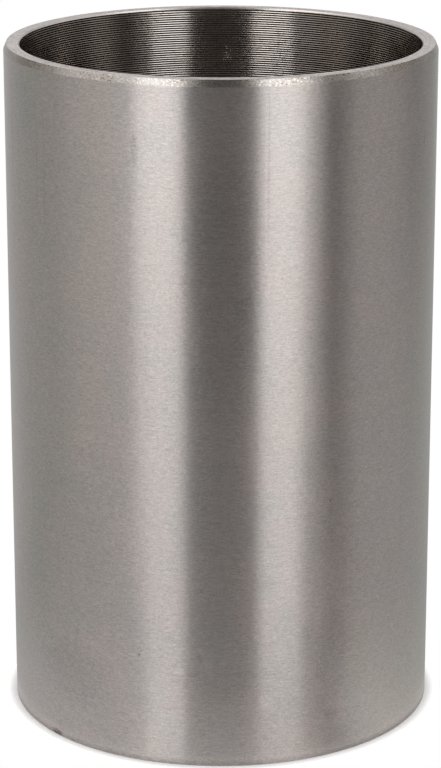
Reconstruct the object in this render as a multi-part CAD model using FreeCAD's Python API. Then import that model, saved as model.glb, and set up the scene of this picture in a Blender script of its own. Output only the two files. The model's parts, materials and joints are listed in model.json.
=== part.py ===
"""Dry cylinder liner of a piston engine: a plain tube with no flange, turned from one spun iron casting.

Lengths are in millimetres. The liner stands on its lower end face, with its axis on Z and the origin
at the centre of that face. The end with the long lead-in chamfer points up.
"""

import FreeCAD, Part
import math
import os

# Driving dimensions
BORE_DIAMETER = 85.2
WALL_THICKNESS = 3.4
LENGTH = 146.5
LEAD_IN_LENGTH = 1.4
LEAD_IN_ANGLE = 23.0
BORE_CHAMFER = 0.35
FOOT_CHAMFER = 0.2

# Sizes that follow from them
BORE_RADIUS = BORE_DIAMETER / 2
OUTSIDE_RADIUS = BORE_RADIUS + WALL_THICKNESS
LEAD_IN_DEPTH = LEAD_IN_LENGTH * math.tan(math.radians(LEAD_IN_ANGLE))

AXIS_POINT = FreeCAD.Vector(0, 0, 0)
AXIS_DIRECTION = FreeCAD.Vector(0, 0, 1)
FULL_TURN = 360


def wall_section():
    """The wall on one side of the axis, in the XZ plane, listed as the lathe tool goes round it."""
    corners = [
        # lower end face, then the broken edge under the ground outside
        (BORE_RADIUS + BORE_CHAMFER, 0),
        (OUTSIDE_RADIUS - FOOT_CHAMFER, 0),
        (OUTSIDE_RADIUS, FOOT_CHAMFER),
        # up the outside, and in along the slim cone that leads the liner into its block
        (OUTSIDE_RADIUS, LENGTH - LEAD_IN_LENGTH),
        (OUTSIDE_RADIUS - LEAD_IN_DEPTH, LENGTH),
        # across the upper end face and down the bore, with a chamfer at each mouth
        (BORE_RADIUS + BORE_CHAMFER, LENGTH),
        (BORE_RADIUS, LENGTH - BORE_CHAMFER),
        (BORE_RADIUS, BORE_CHAMFER),
    ]
    points = [FreeCAD.Vector(radius, 0, height) for radius, height in corners]
    return Part.Face(Part.makePolygon(points + points[:1]))


def turned_liner():
    """The whole liner: its wall section turned once about the axis."""
    return wall_section().revolve(AXIS_POINT, AXIS_DIRECTION, FULL_TURN)


def main():
    os.makedirs("parts", exist_ok=True)
    liner = turned_liner()
    liner.exportStep("parts/cylinder_liner.step")
    print(
        f"cylinder_liner: {len(liner.Solids)} solid, valid {liner.isValid()}, "
        f"{liner.Volume / 1000:.1f} cm3, outside diameter {2 * OUTSIDE_RADIUS:.1f}, length {LENGTH:.1f}"
    )


main()
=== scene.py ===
"""Looks of the cylinder liner: turned and ground iron, boring marks, a pale floor and soft studio light.

Lengths are in metres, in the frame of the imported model, where the liner stands on its lower end face with
its axis on Z. Azimuths are in degrees about Z, 0 towards the camera and positive to the camera's right.
Patterns and marks are in millimetres.
"""

import json
import math

import bmesh
import bpy
import numpy as np
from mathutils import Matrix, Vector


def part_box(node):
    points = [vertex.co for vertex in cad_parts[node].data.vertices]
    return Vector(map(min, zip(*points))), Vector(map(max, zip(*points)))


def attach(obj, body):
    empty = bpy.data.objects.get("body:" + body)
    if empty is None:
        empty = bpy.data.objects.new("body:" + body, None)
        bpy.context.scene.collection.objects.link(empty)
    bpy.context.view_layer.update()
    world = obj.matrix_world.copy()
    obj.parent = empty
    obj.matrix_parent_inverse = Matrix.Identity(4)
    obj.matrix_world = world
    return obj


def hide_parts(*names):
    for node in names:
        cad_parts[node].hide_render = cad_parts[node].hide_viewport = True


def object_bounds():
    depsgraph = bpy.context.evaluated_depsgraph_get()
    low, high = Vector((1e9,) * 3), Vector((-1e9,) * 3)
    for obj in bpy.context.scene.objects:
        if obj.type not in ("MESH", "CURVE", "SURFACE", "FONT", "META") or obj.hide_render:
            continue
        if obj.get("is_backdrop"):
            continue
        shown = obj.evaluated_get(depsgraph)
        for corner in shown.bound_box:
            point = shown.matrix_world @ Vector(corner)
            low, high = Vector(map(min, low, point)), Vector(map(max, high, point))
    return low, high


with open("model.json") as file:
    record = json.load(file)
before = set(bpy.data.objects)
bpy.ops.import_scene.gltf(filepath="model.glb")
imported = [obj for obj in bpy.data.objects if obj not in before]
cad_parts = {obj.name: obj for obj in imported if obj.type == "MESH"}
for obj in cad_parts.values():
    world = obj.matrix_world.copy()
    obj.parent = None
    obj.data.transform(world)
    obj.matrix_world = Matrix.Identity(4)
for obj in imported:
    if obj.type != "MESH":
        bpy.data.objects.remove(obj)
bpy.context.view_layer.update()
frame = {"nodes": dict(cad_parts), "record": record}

MM = 0.001

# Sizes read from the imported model
node = frame["nodes"]["cylinder_liner"]
mounts = {mount["name"]: mount for mount in frame["record"]["mounts"]}
low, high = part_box("cylinder_liner")
LENGTH = high.z
OUTSIDE_RADIUS = high.x
BORE_RADIUS = mounts["bore"]["dims"]["r_mm"] * MM
BORE_CHAMFER = (LENGTH - mounts["bore"]["dims"]["length_mm"] * MM) / 2
GROUND_LENGTH = mounts["outside"]["dims"]["length_mm"] * MM
FOOT_CHAMFER = mounts["outside"]["pos_m"][2] - GROUND_LENGTH / 2
LEAD_IN_LENGTH = LENGTH - FOOT_CHAMFER - GROUND_LENGTH
LEVEL = 1e-6
TOP_RADIUS = max(math.hypot(v.co.x, v.co.y) for v in node.data.vertices if v.co.z > LENGTH - LEVEL)

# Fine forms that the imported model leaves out
SEGMENTS = 152
FEED = 0.5 * MM
SCALLOP_DEPTH = 0.075 * MM
SCALLOP_WANDER = 0.004 * MM
FEED_WANDER = 0.006 * MM
EDGE_EASE = 0.04 * MM
EDGE_HOLD = 0.1 * MM

# Material zones of the liner, in the order of its material slots
GROUND, LEAD_IN, FACED, CHAMFERED, BORED = range(5)

# Colours of the bare iron
IRON = (0.592, 0.551, 0.525)
IRON_WARM = (0.602, 0.542, 0.514)
BORED_IRON = (0.57, 0.52, 0.472)
BORED_IRON_WARM = (0.58, 0.515, 0.46)

# Marks on the outside, as (azimuth, height, half width, half height, change of tone). The last six are on the
# side away from the camera.
MARKS = [
    (-21.9, 24.0, 0.28, 0.3, -0.35),
    (-21.2, 25.0, 0.2, 0.22, -0.3),
    (-50.3, 0.6, 1.6, 0.8, -0.4),
    # A small lighter spot above a darker upright strip
    (-22.6, 140.6, 0.4, 0.4, 0.14),
    (-22.1, 132.0, 0.7, 3.4, -0.14),
    (15.6, 105.9, 0.22, 0.22, -0.3),
    (29.6, 57.3, 0.25, 0.25, -0.35),
    (66.5, 128.7, 0.14, 1.6, -0.3),
    (12.0, 129.5, 0.1, 15.0, -0.16),
    (11.2, 127.0, 0.12, 16.0, 0.08),
    (-7.4, 20.6, 1.1, 0.5, -0.12),
    (-5.3, 24.5, 0.8, 0.9, -0.1),
    (-3.2, 22.5, 0.9, 1.6, 0.1),
    (-11.1, 21.3, 1.4, 0.8, 0.1),
    (30.4, 9.4, 1.8, 1.2, -0.1),
    (11.7, 14.7, 1.5, 1.5, 0.08),
    (-51.9, 125.0, 0.2, 14.0, -0.09),
    (-55.1, 127.0, 0.2, 12.0, -0.09),
    (-71.0, 129.0, 0.3, 12.0, -0.1),
    (-1.0, 19.0, 8.0, 4.0, -0.05),
    # Three broad, faint darker patches, which only make the tone darker there
    (0.5, 106.0, 6.5, 26.0, -0.11),
    (-44.0, 17.0, 8.0, 6.5, -0.09),
    (30.4, 24.0, 3.4, 11.0, -0.09),
    (-104.0, 0.7, 1.2, 0.7, -0.35),
    (-137.0, 108.0, 0.25, 0.3, -0.3),
    (-171.0, 126.0, 0.15, 13.0, -0.1),
    (118.0, 62.0, 0.3, 0.3, -0.3),
    (124.0, 38.0, 0.9, 1.6, -0.08),
    (163.0, 31.0, 1.1, 0.6, -0.12),
]

# Places in the bore with small sharp nicks that glint, as (azimuth, height, half width, half height)
NICKED_PLACES = [
    (178.0, 135.5, 0.8, 2.4),
    (161.0, 135.0, 2.0, 5.0),
]


def eased_outline():
    """Rows (radius, height, zone) of the wall's outline, from the upper bore chamfer round to the lower one.

    Each corner becomes a small round, with a row just before and after it that keeps the flats flat.
    """
    corners = [
        (BORE_RADIUS, LENGTH - BORE_CHAMFER, CHAMFERED),
        (BORE_RADIUS + BORE_CHAMFER, LENGTH, FACED),
        (TOP_RADIUS, LENGTH, LEAD_IN),
        (OUTSIDE_RADIUS, LENGTH - LEAD_IN_LENGTH, GROUND),
        (OUTSIDE_RADIUS, FOOT_CHAMFER, CHAMFERED),
        (OUTSIDE_RADIUS - FOOT_CHAMFER, 0, FACED),
        (BORE_RADIUS + BORE_CHAMFER, 0, CHAMFERED),
        (BORE_RADIUS, BORE_CHAMFER, BORED),
    ]
    rows = []
    for before, corner, after in zip(corners, corners[1:], corners[2:]):
        here = np.array(corner[:2])
        back = np.array(before[:2]) - here
        back /= np.linalg.norm(back)
        ahead = np.array(after[:2]) - here
        ahead /= np.linalg.norm(ahead)
        middle = here + (back + ahead) * EDGE_EASE / 4
        rows.append((*(here + back * EDGE_HOLD), before[2]))
        rows.append((*(here + back * EDGE_EASE), before[2]))
        rows.append((*middle, corner[2]))
        rows.append((*(here + ahead * EDGE_EASE), corner[2]))
        rows.append((*(here + ahead * EDGE_HOLD), corner[2]))
    return rows


def scallop(turns):
    """Depth of the boring mark, by turns along the helix: 0 on its crest, deepest halfway."""
    return SCALLOP_DEPTH * (1 - np.abs(2 * (turns % 1) - 1))


def wander(count, random):
    """A smooth random run of numbers, one for each vertex along the helix, mostly within -1 and 1."""
    rough = random.normal(size=count + 4)
    smooth = np.convolve(rough, np.array([1, 3, 4, 3, 1]) / 6, "valid")
    return np.clip(smooth, -2, 2) / 2


def liner_mesh():
    """The whole liner as one closed mesh, with the helix of the boring marks as real form in the bore."""
    share = np.arange(SEGMENTS) / SEGMENTS
    angle = share * math.tau
    around = np.arange(SEGMENTS)
    following = (around + 1) % SEGMENTS
    corners, faces, zones = [], [], []
    crest = []

    def ring(radius, height, on_crest=False):
        """Adds one row of vertices round the axis and returns their numbers."""
        first = len(corners)
        radius = np.broadcast_to(radius, SEGMENTS)
        height = np.broadcast_to(height, SEGMENTS)
        corners.extend(zip(radius * np.sin(angle), -radius * np.cos(angle), height))
        crest.extend([on_crest] * SEGMENTS)
        return first + around

    # the two mouths of the bore, where the marks run out into the chamfers
    mouth_low, mouth_high = BORE_CHAMFER, LENGTH - BORE_CHAMFER
    low_ring = ring(BORE_RADIUS + scallop(-share), mouth_low, True)
    high_ring = ring(BORE_RADIUS + scallop((mouth_high - mouth_low) / FEED - share), mouth_high, True)

    # the outside, from the upper mouth to the lower one
    before = high_ring
    zone_before = CHAMFERED
    for radius, height, zone in eased_outline():
        row = ring(radius, height)
        faces.extend(zip(before, row, row[following], before[following]))
        zones.extend([zone_before] * SEGMENTS)
        before = row
        zone_before = zone
    faces.extend(zip(before, low_ring, low_ring[following], before[following]))
    zones.extend([CHAMFERED] * SEGMENTS)

    # the bore: two rows a turn, which climb one feed each time round and are held between the mouths
    half_turns = 2 * (math.ceil((mouth_high - mouth_low) / FEED) + 2)
    random = np.random.default_rng(11)
    tool_depth = wander(half_turns * SEGMENTS, random).reshape(half_turns // 2, 2, SEGMENTS)
    tool_height = wander(half_turns * SEGMENTS, random).reshape(half_turns // 2, 2, SEGMENTS)
    rows = []
    for half in range(half_turns):
        turn, in_groove = divmod(half, 2)
        height = mouth_low + (half / 2 - 1 + share) * FEED + FEED_WANDER * tool_height[turn, in_groove]
        radius = BORE_RADIUS + SCALLOP_DEPTH * in_groove
        radius = radius + SCALLOP_WANDER * np.abs(tool_depth[turn, in_groove])
        row = ring(radius, height, not in_groove)
        row = np.where(height < mouth_low + FEED / 8, low_ring, row)
        row = np.where(height > mouth_high - FEED / 8, high_ring, row)
        rows.append(row)
    rows += [high_ring, high_ring, high_ring]
    for half in range(half_turns):
        here = np.append(rows[half], rows[half + 2][0])
        above = np.append(rows[half + 1], rows[half + 3][0])
        for i in range(SEGMENTS):
            face = list(dict.fromkeys([here[i], above[i], above[i + 1], here[i + 1]]))
            if len(face) > 2:
                faces.append(face)
                zones.append(BORED)

    mesh = bpy.data.meshes.new("liner")
    mesh.from_pydata(corners, [], [[int(corner) for corner in face] for face in faces])
    mesh.polygons.foreach_set("material_index", zones)
    mesh.shade_smooth()
    ends = np.zeros(len(mesh.edges) * 2, int)
    mesh.edges.foreach_get("vertices", ends)
    on_crest = np.array(crest)[ends.reshape(-1, 2)].all(axis=1)
    sharp = mesh.attributes.new("sharp_edge", "BOOLEAN", "EDGE")
    sharp.data.foreach_set("value", on_crest)
    return mesh


def drop_loose(mesh):
    """Deletes the vertices that no face uses."""
    edit = bmesh.new()
    edit.from_mesh(mesh)
    bmesh.ops.delete(edit, geom=[v for v in edit.verts if not v.link_faces], context="VERTS")
    edit.to_mesh(mesh)
    edit.free()


def add(tree, kind, inputs=None, **settings):
    """Adds a node. Settings are its properties, and inputs are numbers or nodes' outputs, by socket."""
    new = tree.nodes.new(kind)
    for name, value in settings.items():
        setattr(new, name, value)
    for name, value in (inputs or {}).items():
        if isinstance(value, bpy.types.NodeSocket):
            tree.links.new(value, new.inputs[name])
        else:
            new.inputs[name].default_value = value
    return new


def calc(tree, operation, *values):
    """The output of a Math node."""
    return add(tree, "ShaderNodeMath", dict(enumerate(values)), operation=operation).outputs[0]


def smooth_range(tree, value, start, stop, to_start=0.0, to_stop=1.0):
    """value eased from to_start at start to to_stop at stop, and held outside them."""
    ends = {"Value": value, "From Min": start, "From Max": stop, "To Min": to_start, "To Max": to_stop}
    return add(tree, "ShaderNodeMapRange", ends, interpolation_type="SMOOTHSTEP").outputs["Result"]


def scaled(tree, value, gain, middle=0.5):
    """How far value is from its middle, times gain."""
    return calc(tree, "MULTIPLY", calc(tree, "SUBTRACT", value, middle), gain)


def total(tree, values):
    """The sum of several values."""
    result = values[0]
    for value in values[1:]:
        result = calc(tree, "ADD", result, value)
    return result


class Place:
    """Where a point lies on the liner: its place in millimetres, azimuth in degrees and radius."""

    def __init__(self, tree):
        self.tree = tree
        coordinates = add(tree, "ShaderNodeTexCoord").outputs["Object"]
        in_mm = {0: coordinates, 1: (1 / MM, 1 / MM, 1 / MM)}
        self.position = add(tree, "ShaderNodeVectorMath", in_mm, operation="MULTIPLY").outputs[0]
        self.x, self.y, self.height = add(tree, "ShaderNodeSeparateXYZ", {0: self.position}).outputs
        away = calc(tree, "MULTIPLY", self.y, -1.0)
        self.turn = calc(tree, "ARCTAN2", self.x, away)
        self.azimuth = calc(tree, "DEGREES", self.turn)
        squares = calc(tree, "MULTIPLY_ADD", self.x, self.x, calc(tree, "MULTIPLY", self.y, self.y))
        self.radius = calc(tree, "SQRT", squares)

    def grain(self, around, along, detail=2.0, shift=0.0):
        """Noise with features this many millimetres long round the liner and along its axis."""
        move = {0: self.position, 1: (1 / around, 1 / around, 1 / along), 2: (shift, shift, shift)}
        at = add(self.tree, "ShaderNodeVectorMath", move, operation="MULTIPLY_ADD").outputs[0]
        look = {"Vector": at, "Scale": 1.0, "Detail": detail, "Roughness": 0.55}
        return add(self.tree, "ShaderNodeTexNoise", look).outputs["Fac"]

    def rings(self, around, across, detail=2.0):
        """Noise with features this many millimetres long round an end face and across it."""
        spread = calc(self.tree, "DIVIDE", self.radius, across)
        at_x = calc(self.tree, "DIVIDE", self.x, around)
        at_y = calc(self.tree, "DIVIDE", self.y, around)
        at = add(self.tree, "ShaderNodeCombineXYZ", {0: at_x, 1: at_y, 2: spread}).outputs[0]
        look = {"Vector": at, "Scale": 1.0, "Detail": detail, "Roughness": 0.55}
        return add(self.tree, "ShaderNodeTexNoise", look).outputs["Fac"]

    def spot(self, azimuth, height, half_width, half_height, ragged, radius=OUTSIDE_RADIUS):
        """1 inside an uneven ellipse on the outside or at another radius, 0 away from it."""
        millimetres = math.radians(1) * radius / MM
        across = scaled(self.tree, self.azimuth, millimetres / half_width, azimuth)
        up = scaled(self.tree, self.height, 1 / half_height, height)
        squares = calc(self.tree, "MULTIPLY_ADD", across, across, calc(self.tree, "MULTIPLY", up, up))
        distance = calc(self.tree, "ADD", calc(self.tree, "SQRT", squares), ragged)
        return smooth_range(self.tree, distance, 0.6, 1.4, 1.0, 0.0)


def iron(name, roughness, anisotropic):
    """A bare metal whose marks run round the liner. Returns the material, its node tree and its shader."""
    material = bpy.data.materials.new(name)
    material.use_nodes = True
    tree = material.node_tree
    shader = tree.nodes["Principled BSDF"]
    shader.inputs["Metallic"].default_value = 1
    shader.inputs["Roughness"].default_value = roughness
    shader.inputs["Anisotropic"].default_value = anisotropic
    shader.inputs["Anisotropic Rotation"].default_value = 0.25
    tangent = add(tree, "ShaderNodeTangent", direction_type="RADIAL", axis="Z")
    tree.links.new(tangent.outputs["Tangent"], shader.inputs["Tangent"])
    return material, tree, shader


def paint(tree, shader, first, second, share, parts, middle):
    """Base colour: a mix of two colours, made lighter or darker by the sum of the parts and a middle tone."""
    tone = calc(tree, "ADD", total(tree, parts), middle)
    mix = add(tree, "ShaderNodeMix", data_type="RGBA", blend_type="MIX")
    mix.inputs[0].default_value = 0.5
    tree.links.new(share, mix.inputs[0])
    mix.inputs[6].default_value = (*first, 1)
    mix.inputs[7].default_value = (*second, 1)
    shade = add(tree, "ShaderNodeVectorMath", {0: mix.outputs[2], "Scale": tone}, operation="SCALE")
    tree.links.new(shade.outputs[0], shader.inputs["Base Color"])


def roughen(tree, shader, parts):
    """Roughness that varies with the sum of the parts round the shader's own value."""
    roughness = shader.inputs["Roughness"]
    tree.links.new(calc(tree, "ADD", total(tree, parts), roughness.default_value), roughness)


def relief(tree, shader, height, millimetres):
    """Bump from a height of 0 to 1 that stands for this many millimetres."""
    bump = add(tree, "ShaderNodeBump", {"Height": height, "Strength": 1.0, "Distance": millimetres * MM})
    tree.links.new(bump.outputs[0], shader.inputs["Normal"])


def ground_outside():
    """Centreless-ground outside: fine grain round the liner, faint clouds, marks of handling, a few broad
    faint darker patches, and painted shade that darkens it towards the foot.
    """
    material, tree, shader = iron("ground_outside", 0.316, 0.9)
    place = Place(tree)
    grain = place.grain(1.3, 0.26)
    fine = place.grain(0.4, 0.16, 1.0, 31.0)
    streaks = place.grain(20.0, 0.8, 2.0, 57.0)
    clouds = place.grain(11.0, 16.0, 2.0, 83.0)
    ragged = scaled(tree, place.grain(0.5, 0.5, 2.0, 19.0), 1.6)
    # painted shade: the tone darkens over the lowest 1.8 mm, towards the foot
    at_foot = smooth_range(tree, place.height, 1.8, 0.2)
    parts = [
        scaled(tree, grain, 0.55),
        scaled(tree, fine, 0.7),
        scaled(tree, streaks, 0.1),
        scaled(tree, clouds, 0.16),
        calc(tree, "MULTIPLY", at_foot, -0.3),
    ]
    for *where, change in MARKS:
        parts.append(calc(tree, "MULTIPLY", place.spot(*where, ragged), change))
    paint(tree, shader, IRON, IRON_WARM, smooth_range(tree, clouds, 0.38, 0.62), parts, 1.0)
    roughen(tree, shader, [scaled(tree, clouds, 0.08), scaled(tree, grain, 0.1)])
    relief(tree, shader, calc(tree, "MULTIPLY_ADD", fine, 0.4, grain), 0.006)
    return material


def rough_turned_lead_in():
    """Lead-in chamfer: turned more coarsely, with chatter marks up the slope and dark and bright flecks."""
    material, tree, shader = iron("rough_turned_lead_in", 0.3, 0.8)
    place = Place(tree)
    chatter = place.grain(0.4, 4.0, 1.0)
    torn = place.grain(0.5, 0.3, 3.0, 23.0)
    patches = place.grain(7.0, 3.0, 2.0, 47.0)
    dark_flecks = smooth_range(tree, torn, 0.54, 0.66)
    bright_flecks = smooth_range(tree, torn, 0.44, 0.34)
    amount = smooth_range(tree, patches, 0.35, 0.6)
    parts = [
        scaled(tree, chatter, 0.3),
        calc(tree, "MULTIPLY", calc(tree, "MULTIPLY", dark_flecks, amount), -0.55),
        calc(tree, "MULTIPLY", bright_flecks, 0.45),
    ]
    paint(tree, shader, IRON, BORED_IRON, amount, parts, 0.93)
    roughen(tree, shader, [scaled(tree, torn, 0.3), scaled(tree, patches, 0.1)])
    relief(tree, shader, calc(tree, "MULTIPLY_ADD", chatter, 0.2, torn), 0.016)
    return material


def faced_end():
    """End faces: fine circular turning marks."""
    material, tree, shader = iron("faced_end", 0.34, 0.6)
    place = Place(tree)
    rings = place.rings(14.0, 0.22)
    patches = place.grain(3.0, 3.0, 3.0, 13.0)
    specks = place.grain(0.7, 0.7, 2.0, 71.0)
    parts = [scaled(tree, rings, 1.0), scaled(tree, patches, 0.8), scaled(tree, specks, 1.3)]
    paint(tree, shader, IRON, IRON_WARM, smooth_range(tree, patches, 0.4, 0.6), parts, 0.98)
    roughen(tree, shader, [scaled(tree, rings, 0.1), scaled(tree, patches, 0.1)])
    relief(tree, shader, rings, 0.006)
    return material


def chamfered_mouth():
    """The small chamfers: a bright cut with uneven turning marks."""
    material, tree, shader = iron("chamfered_mouth", 0.3, 0.6)
    place = Place(tree)
    chatter = place.grain(0.9, 0.1)
    patches = place.grain(4.0, 1.0, 2.0, 29.0)
    parts = [scaled(tree, chatter, 0.3), scaled(tree, patches, 0.2)]
    paint(tree, shader, IRON, IRON_WARM, smooth_range(tree, patches, 0.4, 0.6), parts, 1.0)
    roughen(tree, shader, [scaled(tree, chatter, 0.1)])
    relief(tree, shader, chatter, 0.008)
    return material


def bored_wall():
    """Coarsely bored wall: its turns differ in tone, with painted shade in the groove floors, a painted
    highlight on the crests, torn spots and nicks.
    """
    material, tree, shader = iron("bored_wall", 0.19, 0.5)
    place = Place(tree)
    turns = calc(tree, "DIVIDE", calc(tree, "SUBTRACT", place.height, BORE_CHAMFER / MM), FEED / MM)
    phase = calc(tree, "FRACT", calc(tree, "SUBTRACT", turns, calc(tree, "DIVIDE", place.turn, math.tau)))
    from_floor = calc(tree, "ABSOLUTE", scaled(tree, phase, 2.0))
    dashes = place.grain(5.0, 0.25)
    torn = place.grain(0.6, 0.2, 2.0, 37.0)
    clouds = place.grain(9.0, 6.0, 2.0, 61.0)
    torn_spots = smooth_range(tree, torn, 0.55, 0.68)
    torn_places = calc(tree, "MULTIPLY", torn_spots, smooth_range(tree, clouds, 0.45, 0.6))
    parts = [
        scaled(tree, dashes, 0.5),
        calc(tree, "MULTIPLY", torn_places, -0.4),
        scaled(tree, clouds, 0.25),
        # painted shade in the groove floors and a painted highlight on the crests of the boring marks
        smooth_range(tree, from_floor, 0.25, 0.75, -0.5, 0.5),
    ]
    paint(tree, shader, BORED_IRON, BORED_IRON_WARM, smooth_range(tree, clouds, 0.4, 0.6), parts, 0.7)
    roughen(tree, shader, [scaled(tree, torn, 0.1), scaled(tree, clouds, 0.06)])
    nicks = smooth_range(tree, place.grain(0.4, 0.35, 1.0, 91.0), 0.58, 0.66, 0.0, 8.0)
    ragged = scaled(tree, place.grain(0.8, 0.8, 1.0, 43.0), 1.6)
    height = calc(tree, "MULTIPLY_ADD", torn, 0.4, dashes)
    for nicked_place in NICKED_PLACES:
        height = calc(tree, "MULTIPLY_ADD", place.spot(*nicked_place, ragged, BORE_RADIUS), nicks, height)
    relief(tree, shader, height, 0.003)
    return material


def place_object(name, mesh):
    """Puts a mesh into the scene as an object."""
    new = bpy.data.objects.new(name, mesh)
    bpy.context.scene.collection.objects.link(new)
    return new


mesh = liner_mesh()
drop_loose(mesh)
liner = place_object("liner", mesh)
for make_material in (ground_outside, rough_turned_lead_in, faced_end, chamfered_mouth, bored_wall):
    mesh.materials.append(make_material())
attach(liner, "root")
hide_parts("cylinder_liner")

# Tints of the stage's cards, which only reflections see
PLAIN = (1.0, 1.0, 1.0)
WARM = (1.035, 0.985, 0.97)
COOL = (0.97, 1.01, 0.97)
AMBER = (1.06, 0.98, 0.91)
BLUISH = (0.98, 1.008, 1.045)

# The wall round the liner, in three bands from its foot up, each a list of (azimuth, level, tint). The
# outside mirrors the first, the bore and the upper face the second, and the lead-in chamfer the third.
WALL_RADIUS = 1.0
WALL_HEIGHTS = (-1.2, 0.25, 0.6, 1.5)
WALL_LEVELS = [
    [
        (-180, 0.65, PLAIN), (-150, 0.42, PLAIN), (-120, 0.36, COOL), (-95, 0.36, PLAIN), (-75, 0.53, WARM),
        (-60, 0.62, WARM), (-49, 0.68, PLAIN), (-20, 0.18, PLAIN), (0, 0.16, WARM), (20, 0.14, WARM),
        (49, 0.75, PLAIN), (56, 0.1, PLAIN), (60, 0.05, WARM), (75, 0.34, WARM), (95, 0.345, PLAIN),
        (120, 0.22, PLAIN), (150, 0.34, COOL), (180, 0.65, PLAIN),
    ],
    [
        (-180, 0.78, PLAIN), (-150, 0.66, PLAIN), (-128, 0.2, AMBER), (-112, 0.28, AMBER), (-98, 0.22, AMBER),
        (-86, 0.4, WARM), (-74, 0.42, AMBER), (-66, 0.4, AMBER), (-57, 0.52, PLAIN), (-49, 0.5, PLAIN),
        (-20, 0.06, PLAIN), (0, 0.02, WARM), (20, 0.04, WARM), (49, 0.4, PLAIN), (56, 0.1, PLAIN),
        (62, 0.08, WARM), (72, 0.36, AMBER), (82, 0.46, WARM), (92, 0.28, AMBER), (106, 0.24, AMBER),
        (120, 0.26, AMBER), (150, 0.46, PLAIN), (180, 0.78, PLAIN),
    ],
    [
        (-180, 0.6, PLAIN), (-130, 0.75, PLAIN), (-105, 1.35, PLAIN), (-60, 0.95, PLAIN), (-49, 0.95, PLAIN),
        (-20, 0.1, PLAIN), (0, 0.06, PLAIN), (20, 0.08, PLAIN), (49, 0.85, PLAIN), (60, 0.12, WARM),
        (95, 0.95, PLAIN), (130, 0.85, PLAIN), (180, 0.6, PLAIN),
    ],
]

# The ceiling, dim but for a panel on each side, which the chamfer of the bore mirrors
CEILING_OPENING = 0.3
CEILING_OPENING_LEVEL = 0.1
CEILING_LEVELS = [
    (-180, 0.6, PLAIN), (-116, 0.6, PLAIN), (-106, 2.2, PLAIN), (-55, 2.2, PLAIN), (-49, 0.15, PLAIN),
    (0, 0.1, PLAIN), (58, 0.15, PLAIN), (64, 2.2, PLAIN), (107, 2.2, PLAIN), (117, 0.8, PLAIN),
    (180, 0.6, PLAIN),
]

# The two softboxes, each as parts from its foot up, and each part as (inner azimuth, outer azimuth at the
# part's foot, outer azimuth at its top, level, tint)
SOFTBOX_RADIUS = 0.98
SOFTBOX_HEIGHTS = (-0.25, 0.25, 0.6, 1.35)
SOFTBOXES = {
    "softbox_left": [
        (-19.4, -44.0, -45.9, 1.37, PLAIN),
        (-19.4, -43.6, -44.4, 2.12, BLUISH),
        (-19.4, -47.2, -50.0, 1.7, PLAIN),
    ],
    "softbox_right": [
        (20.1, 42.0, 47.6, 1.37, PLAIN),
        (20.1, 42.6, 43.6, 2.12, BLUISH),
        (20.1, 49.4, 58.0, 1.8, PLAIN),
    ],
}

# Their sheens on the table, as (inner azimuth, outer azimuth at each distance from the liner, near and far
# level)
SHEEN_DISTANCES = (0.004, 0.05, 0.45)
SHEENS = {
    "sheen_left": (-19.4, (-40.5, -40.5, -41.8), (0.74, 0.62)),
    "sheen_right": (20.1, (40.0, 44.0, 43.2), (0.56, 0.71)),
}

# The floor under the liner, whose glow makes it white, less so in the metal's reflections
FLOOR_RADIUS = 0.0485
FLOOR_COLOUR = (0.85, 0.85, 0.85, 1)
FLOOR_ROUGHNESS = 0.8
FLOOR_GLOW_INSIDE = 0.3
FLOOR_GLOW_AT_FOOT = 0.2
FLOOR_GLOW_AT_RIM = 0.6
FLOOR_GLOW_IN_METAL = 0.45

# The table top beyond the floor: a mat in two rings, and the rest of the table
MAT_MIDDLE_RADIUS = 0.072
MAT_RADIUS = 0.088
MAT_LEFT = [
    (-180, 0.6, PLAIN), (-130, 0.44, COOL), (-95, 0.54, PLAIN), (-70, 0.57, PLAIN), (-27, 0.53, PLAIN),
]
MAT_FRONT_AT_FOOT = [(-14, 0.52, PLAIN), (0, 0.5, PLAIN), (14, 0.51, WARM), (28, 0.44, WARM)]
MAT_FRONT = [(-14, 0.44, PLAIN), (0, 0.42, PLAIN), (14, 0.44, WARM), (28, 0.42, WARM)]
MAT_RIGHT = [
    (38, 0.38, WARM), (45, 0.58, PLAIN), (58, 0.68, COOL), (90, 0.53, COOL), (130, 0.44, COOL),
    (180, 0.6, PLAIN),
]
TABLE_RADIUS = 0.45
TABLE_LEVELS = [
    (-180, 0.5, PLAIN), (-150, 0.5, PLAIN), (-100, 0.385, COOL), (-40, 0.4, PLAIN), (-15, 0.26, PLAIN),
    (0, 0.24, PLAIN), (15, 0.26, WARM), (44, 0.3, WARM), (58, 0.26, WARM), (72, 0.4, PLAIN),
    (100, 0.43, PLAIN), (130, 0.42, COOL), (180, 0.5, PLAIN),
]

# World and lamps
WORLD_LEVEL = 0.55
LAMP_AZIMUTHS = {"lamp_left": -32.0, "lamp_right": 32.0}
LAMP_DISTANCE = 0.9
LAMP_HEIGHT = 0.65
LAMP_TILT = 55
LAMP_SIZE = (0.45, 1.4)
LAMP_POWER = 2.0


def on_wall(azimuth, radius, height):
    """The point at this azimuth in degrees and distance from the axis."""
    angle = math.radians(azimuth)
    return radius * math.sin(angle), -radius * math.cos(angle), height


def mirrored(azimuth, distance):
    """The point just above the table that the outside mirrors at this azimuth, this far from its surface."""
    at_x, at_y, _ = on_wall(azimuth / 2, OUTSIDE_RADIUS, 0)
    away_x, away_y, _ = on_wall(azimuth, distance, 0)
    return at_x + away_x, at_y + away_y, -MM / 4


def plain(level, tint=PLAIN):
    """The same level and tint all round."""
    return [(-180, level, tint), (180, level, tint)]


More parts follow.
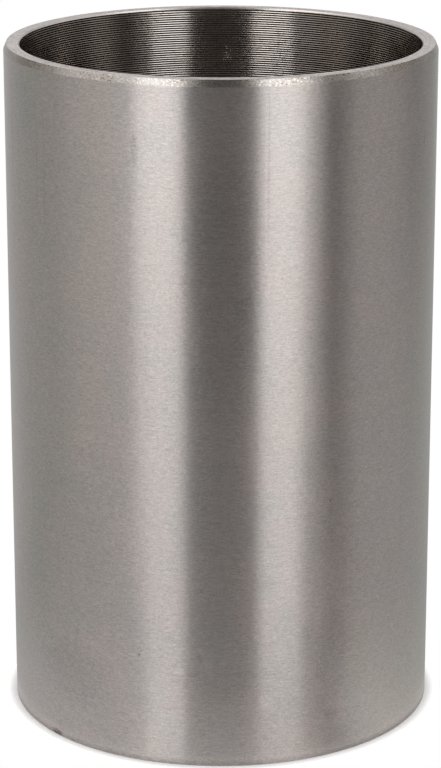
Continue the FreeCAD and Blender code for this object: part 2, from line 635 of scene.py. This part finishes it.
def glow_material(name, levels):
    """A plain glow whose level and tint follow the azimuth, from a list of (degrees, level, tint)."""
    material = bpy.data.materials.new(name)
    material.use_nodes = True
    tree = material.node_tree
    tree.nodes.clear()
    place = Place(tree)
    share = calc(tree, "ADD", calc(tree, "DIVIDE", place.azimuth, 360.0), 0.5)
    ramp = add(tree, "ShaderNodeValToRGB", {0: share})
    elements = ramp.color_ramp.elements
    elements.remove(elements[1])
    for number, (degrees, level, tint) in enumerate(levels):
        element = elements[0] if number == 0 else elements.new(degrees / 360 + 0.5)
        element.position = degrees / 360 + 0.5
        element.color = (*(level * part for part in tint), 1)
    glow = add(tree, "ShaderNodeEmission", {"Color": ramp.outputs[0]})
    add(tree, "ShaderNodeOutputMaterial", {"Surface": glow.outputs[0]})
    return material


def reflected_card(name, corners, faces, levels):
    """A stage surface that only reflections see."""
    mesh = bpy.data.meshes.new(name)
    mesh.from_pydata(corners, [], faces)
    mesh.materials.append(glow_material(name, levels))
    card = place_object(name, mesh)
    card.visible_camera = False
    card.visible_diffuse = False
    card.visible_shadow = False
    card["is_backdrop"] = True


def band(inner, outer, steps=180):
    """Corners and faces of a band round the axis between two circles, each given as (radius, height)."""
    corners = []
    for step in range(steps):
        azimuth = 360 * step / steps
        corners += [on_wall(azimuth, *inner), on_wall(azimuth, *outer)]
    faces = []
    for step in range(steps):
        here, following = 2 * step, 2 * ((step + 1) % steps)
        faces.append((here, following, following + 1, here + 1))
    return corners, faces


def reflected_studio():
    """The wall, the ceiling, the mat and the table top, the two softboxes and their sheens."""
    for number, levels in enumerate(WALL_LEVELS):
        bottom, top = WALL_HEIGHTS[number:number + 2]
        reflected_card(f"wall_{number}", *band((WALL_RADIUS, bottom), (WALL_RADIUS, top)), levels)
    ceiling = WALL_HEIGHTS[-1]
    reflected_card("ceiling", *band((CEILING_OPENING, ceiling), (WALL_RADIUS, ceiling)), CEILING_LEVELS)
    middle_level = plain(CEILING_OPENING_LEVEL)
    reflected_card("ceiling_middle", *band((LEVEL, ceiling), (CEILING_OPENING, ceiling)), middle_level)
    under = -MM / 2
    at_foot = MAT_LEFT + MAT_FRONT_AT_FOOT + MAT_RIGHT
    beyond = MAT_LEFT + MAT_FRONT + MAT_RIGHT
    reflected_card("mat_at_foot", *band((FLOOR_RADIUS, under), (MAT_MIDDLE_RADIUS, under)), at_foot)
    reflected_card("mat", *band((MAT_MIDDLE_RADIUS, under), (MAT_RADIUS, under)), beyond)
    reflected_card("table_top", *band((MAT_RADIUS, under), (TABLE_RADIUS, under)), TABLE_LEVELS)
    for name, parts in SOFTBOXES.items():
        for number, (inner, outer_low, outer_high, level, tint) in enumerate(parts):
            bottom, top = SOFTBOX_HEIGHTS[number:number + 2]
            corners = [
                on_wall(inner, SOFTBOX_RADIUS, bottom), on_wall(outer_low, SOFTBOX_RADIUS, bottom),
                on_wall(outer_high, SOFTBOX_RADIUS, top), on_wall(inner, SOFTBOX_RADIUS, top),
            ]
            reflected_card(f"{name}_{number}", corners, [(0, 1, 2, 3)], plain(level, tint))
    for name, (inner, outers, levels) in SHEENS.items():
        for number, level in enumerate(levels):
            near, far = SHEEN_DISTANCES[number:number + 2]
            corners = [
                mirrored(inner, near), mirrored(outers[number], near),
                mirrored(outers[number + 1], far), mirrored(inner, far),
            ]
            reflected_card(f"{name}_{number}", corners, [(0, 1, 2, 3)], plain(level))


def seen_directly(tree, in_metal=1.0):
    """1 for rays from the camera, in_metal for rays in reflections and glass, 0 for the rest."""
    path = add(tree, "ShaderNodeLightPath")
    reflected = calc(tree, "MAXIMUM", path.outputs["Is Glossy Ray"], path.outputs["Is Transmission Ray"])
    return calc(tree, "MAXIMUM", path.outputs["Is Camera Ray"], calc(tree, "MULTIPLY", reflected, in_metal))


def pale_floor():
    """A small white disc under the liner, which keeps its soft shadow and meets the white world unseen."""
    steps = 96
    mesh = bpy.data.meshes.new("floor")
    rim = [on_wall(360 * step / steps, FLOOR_RADIUS, 0) for step in range(steps)]
    mesh.from_pydata(rim, [], [list(range(steps))])
    material = bpy.data.materials.new("pale_floor")
    material.use_nodes = True
    tree = material.node_tree
    shader = tree.nodes["Principled BSDF"]
    shader.inputs["Base Color"].default_value = FLOOR_COLOUR
    shader.inputs["Roughness"].default_value = FLOOR_ROUGHNESS
    radius = Place(tree).radius
    outside = OUTSIDE_RADIUS / MM
    to_rim = FLOOR_GLOW_AT_RIM - FLOOR_GLOW_AT_FOOT
    white = total(tree, [
        smooth_range(tree, radius, BORE_RADIUS / MM, outside, FLOOR_GLOW_INSIDE, FLOOR_GLOW_AT_FOOT),
        smooth_range(tree, radius, outside, FLOOR_RADIUS / MM, 0.0, to_rim),
    ])
    strength = calc(tree, "MULTIPLY", seen_directly(tree, FLOOR_GLOW_IN_METAL), white)
    glow = add(tree, "ShaderNodeEmission", {"Strength": strength})
    both = add(tree, "ShaderNodeAddShader", {0: shader.outputs[0], 1: glow.outputs[0]})
    tree.links.new(both.outputs[0], tree.nodes["Material Output"].inputs["Surface"])
    mesh.materials.append(material)
    place_object("floor", mesh)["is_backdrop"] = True


def white_world():
    """White for the camera and in reflections, softer as light on matt surfaces."""
    world = bpy.data.worlds.new("white_studio")
    bpy.context.scene.world = world
    world.use_nodes = True
    tree = world.node_tree
    background = tree.nodes["Background"]
    background.inputs["Color"].default_value = (1, 1, 1, 1)
    levels = {"Value": seen_directly(tree), "To Min": WORLD_LEVEL, "To Max": 1.0}
    strength = add(tree, "ShaderNodeMapRange", levels)
    tree.links.new(strength.outputs[0], background.inputs["Strength"])


def soft_lamps():
    """Two large soft lamps where the softboxes stand, which light the floor and its shadow."""
    for name, azimuth in LAMP_AZIMUTHS.items():
        data = bpy.data.lights.new(name, "AREA")
        data.shape = "RECTANGLE"
        data.size, data.size_y = LAMP_SIZE
        data.energy = LAMP_POWER
        lamp = place_object(name, data)
        lamp.location = on_wall(azimuth, LAMP_DISTANCE, LAMP_HEIGHT)
        lamp.rotation_euler = (math.radians(LAMP_TILT), 0, math.radians(azimuth))
        lamp.visible_glossy = False


def camera_of_the_photo():
    """The camera that was fitted to the outline of the liner in the photo."""
    distance, height, sideways, pitch = 0.597, 0.2502, -0.09 * MM, 16.757
    focal_pixels, image_height = 2842.4, 768
    data = bpy.data.cameras.new("camera")
    data.sensor_width = 36
    data.lens = focal_pixels / image_height * data.sensor_width
    data.clip_start = 0.01
    camera = place_object("camera", data)
    camera.location = (sideways, -distance, height)
    camera.rotation_euler = (math.radians(90 - pitch), 0, 0)
    bpy.context.scene.camera = camera


reflected_studio()
pale_floor()
white_world()
soft_lamps()
camera_of_the_photo()
bpy.context.scene.view_settings.view_transform = "Standard"

low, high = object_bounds()
